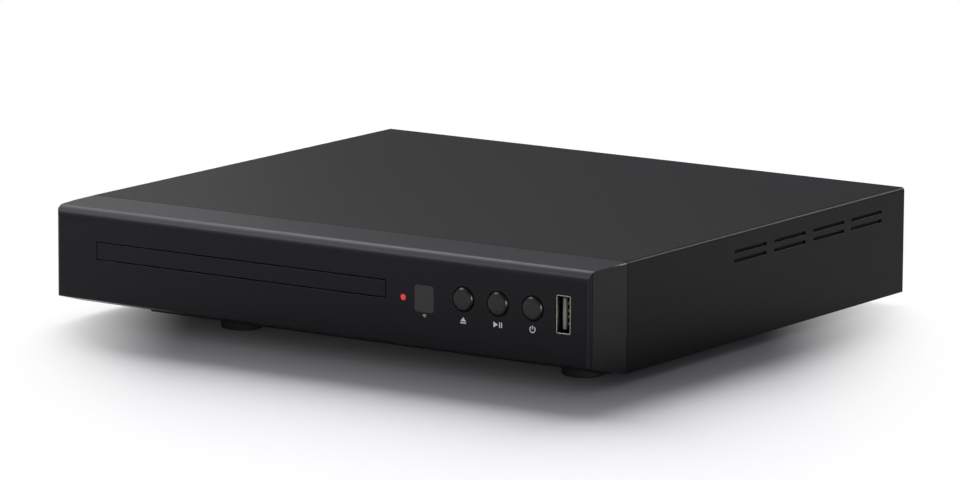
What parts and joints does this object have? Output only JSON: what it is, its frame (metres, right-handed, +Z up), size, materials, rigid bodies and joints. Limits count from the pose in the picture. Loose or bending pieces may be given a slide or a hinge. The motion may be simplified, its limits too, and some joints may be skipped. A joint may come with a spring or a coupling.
{
  "type": "disc player",
  "caption": "Slim disc player with a motor-driven tray, round front keys, a front data socket and rear sockets, in a folded steel housing with a moulded bezel.",
  "frame": {"origin": "middle of the bounding box, on the plane that the feet stand on", "axes": "+X to the right as seen from the front, +Y from the front bezel to the rear panel, +Z up"},
  "size_m": [0.225, 0.2138, 0.042],
  "materials": {
    "cover_steel": "satin black powder coat over 0.8 mm steel",
    "chassis_steel": "thin black paint over 0.8 mm steel",
    "rear_steel": "satin black paint over 0.8 mm steel",
    "zinc_steel": "zinc-plated sheet, dull",
    "bezel_abs": "moulded black ABS, fine satin grain",
    "button_abs": "moulded black ABS, semi-gloss",
    "foot_rubber": "moulded black rubber",
    "black_screw": "black-oxide steel",
    "bright_screw": "zinc-plated steel",
    "ir_acrylic": "smoked infrared acrylic",
    "red_lens": "red diffusing epoxy",
    "board_green": "green solder mask on fibreglass",
    "board_tan": "phenolic paper board",
    "black_plastic": "moulded black nylon",
    "white_plastic": "moulded white nylon",
    "nickel": "nickel-plated steel",
    "tray_abs": "moulded charcoal ABS",
    "loader_abs": "moulded pale grey ABS",
    "acetal": "moulded natural acetal",
    "magnet": "sintered ferrite ring, nickel plated",
    "belt_rubber": "moulded black rubber",
    "brass": "turned brass",
    "motor_can": "zinc-plated motor can",
    "damper_rubber": "soft blue-grey rubber",
    "rod_steel": "ground and polished steel",
    "sled_alloy": "die-cast alloy, dark finish",
    "lens_glass": "coated moulded lens",
    "turntable_plastic": "moulded glass-filled plastic",
    "chip_epoxy": "moulded epoxy package",
    "winding_tape": "yellow polyester tape",
    "capacitor_sleeve": "shrink sleeve over aluminium",
    "ribbon_pvc": "pale grey flat cable",
    "jack_yellow": "moulded yellow ABS",
    "jack_white": "moulded white ABS",
    "jack_red": "moulded red ABS"
  },
  "bodies": {
    "housing": {"top_cover": "cover_steel", "bottom_chassis": "chassis_steel", "rear_panel": "rear_steel", "front_bezel": "bezel_abs", "feet": "foot_rubber", "housing_screws": "black_screw", "ir_window": "ir_acrylic", "led_lens": "red_lens", "front_board": "board_green", "tact_switches": "black_plastic", "ir_receiver": "black_plastic", "usb_shell": "nickel", "usb_tongue": "white_plastic", "loader_frame": "loader_abs", "clamp_bridge": "zinc_steel", "drive_belt": "belt_rubber", "loading_motor": "motor_can", "loader_screws": "bright_screw", "board_screws": "bright_screw", "main_board": "board_green", "main_chips": "chip_epoxy", "power_board": "board_tan", "transformer": "winding_tape", "capacitors": "capacitor_sleeve", "ribbon_cables": "ribbon_pvc", "hdmi_socket": "nickel", "video_jack": "jack_yellow", "left_jack": "jack_white", "right_jack": "jack_red", "jack_barrels": "nickel", "mains_inlet": "black_plastic", "inlet_pins": "nickel"},
    "tray": {"disc_tray": "tray_abs", "tray_door": "bezel_abs"},
    "eject_key": {"eject_button": "button_abs", "eject_plunger": "white_plastic"},
    "play_key": {"play_button": "button_abs", "play_plunger": "white_plastic"},
    "power_key": {"power_button": "button_abs", "power_plunger": "white_plastic"},
    "clamp": {"clamp_puck": "black_plastic", "puck_magnet": "magnet"},
    "drive_gear": {"drive_gear": "acetal"},
    "pulley_gear": {"pulley_gear": "acetal"},
    "motor_pulley": {"motor_pulley": "brass"},
    "cam": {"cam_slider": "acetal"},
    "lift": {"lift_frame": "black_plastic", "traverse_plate": "zinc_steel", "dampers": "damper_rubber", "damper_screws": "bright_screw", "guide_rods": "rod_steel", "feed_motor": "motor_can", "spindle_motor": "motor_can"},
    "sled": {"pickup_sled": "sled_alloy", "pickup_lens": "lens_glass"},
    "feed_gear": {"feed_gear": "acetal"},
    "feed_pinion": {"feed_pinion": "brass"},
    "spindle": {"spindle_rotor": "motor_can", "turntable": "turntable_plastic", "turntable_pad": "belt_rubber"}
  },
  "joints": [
    {"name": "tray_slide", "type": "slide", "parent": "housing", "child": "tray", "axis": [0, -1, 0], "range_m": [0, 0.13]},
    {"name": "drive_gear_spin", "type": "hinge", "parent": "housing", "child": "drive_gear", "pos_m": [-0.0818, -0.0713, 0.023], "axis": [0, 0, 1], "continuous": true},
    {"name": "pulley_gear_spin", "type": "hinge", "parent": "housing", "child": "pulley_gear", "pos_m": [-0.0622, -0.0713, 0.02], "axis": [0, 0, 1], "continuous": true},
    {"name": "motor_pulley_spin", "type": "hinge", "parent": "housing", "child": "motor_pulley", "pos_m": [-0.0228, -0.0777, 0.018], "axis": [0, 0, 1], "continuous": true},
    {"name": "lift_hinge", "type": "hinge", "parent": "housing", "child": "lift", "pos_m": [-0.032, 0.0457, 0.015], "axis": [1, 0, 0], "range_deg": [0, 3.4]},
    {"name": "cam_slide", "type": "slide", "parent": "housing", "child": "cam", "axis": [-1, 0, 0], "range_m": [0, 0.024]},
    {"name": "sled_slide", "type": "slide", "parent": "lift", "child": "sled", "axis": [0, 1, 0], "range_m": [0, 0.034]},
    {"name": "feed_gear_spin", "type": "hinge", "parent": "lift", "child": "feed_gear", "pos_m": [-0.065, -0.0003, 0.021], "axis": [0, 0, 1], "continuous": true},
    {"name": "feed_pinion_spin", "type": "hinge", "parent": "lift", "child": "feed_pinion", "pos_m": [-0.07001, -0.01391, 0.022], "axis": [0, 0, 1], "continuous": true},
    {"name": "spindle_spin", "type": "hinge", "parent": "lift", "child": "spindle", "pos_m": [-0.032, -0.0378, 0.024], "axis": [0, 0, 1], "continuous": true},
    {"name": "clamp_spin", "type": "hinge", "parent": "housing", "child": "clamp", "pos_m": [-0.032, -0.0378, 0.033], "axis": [0, 0, 1], "continuous": true},
    {"name": "eject_press", "type": "slide", "parent": "housing", "child": "eject_key", "axis": [0, 1, 0], "range_m": [0, 0.0005], "stiffness_N_per_m": 1500, "springref_m": -0.0008},
    {"name": "play_press", "type": "slide", "parent": "housing", "child": "play_key", "axis": [0, 1, 0], "range_m": [0, 0.0005], "stiffness_N_per_m": 1500, "springref_m": -0.0008},
    {"name": "power_press", "type": "slide", "parent": "housing", "child": "power_key", "axis": [0, 1, 0], "range_m": [0, 0.0005], "stiffness_N_per_m": 1500, "springref_m": -0.0008}
  ],
  "couplings": [
    {"joint": "drive_gear_spin", "follows": "tray_slide", "rad_per_m": 138.89},
    {"joint": "pulley_gear_spin", "follows": "tray_slide", "rad_per_m": -347.22},
    {"joint": "motor_pulley_spin", "follows": "tray_slide", "rad_per_m": -1388.9},
    {"joint": "cam_slide", "follows": "lift_hinge", "m_per_rad": 0.4044},
    {"joint": "feed_gear_spin", "follows": "sled_slide", "rad_per_m": 250},
    {"joint": "feed_pinion_spin", "follows": "sled_slide", "rad_per_m": -785.71},
    {"joint": "clamp_spin", "follows": "spindle_spin", "ratio": 1}
  ]
}
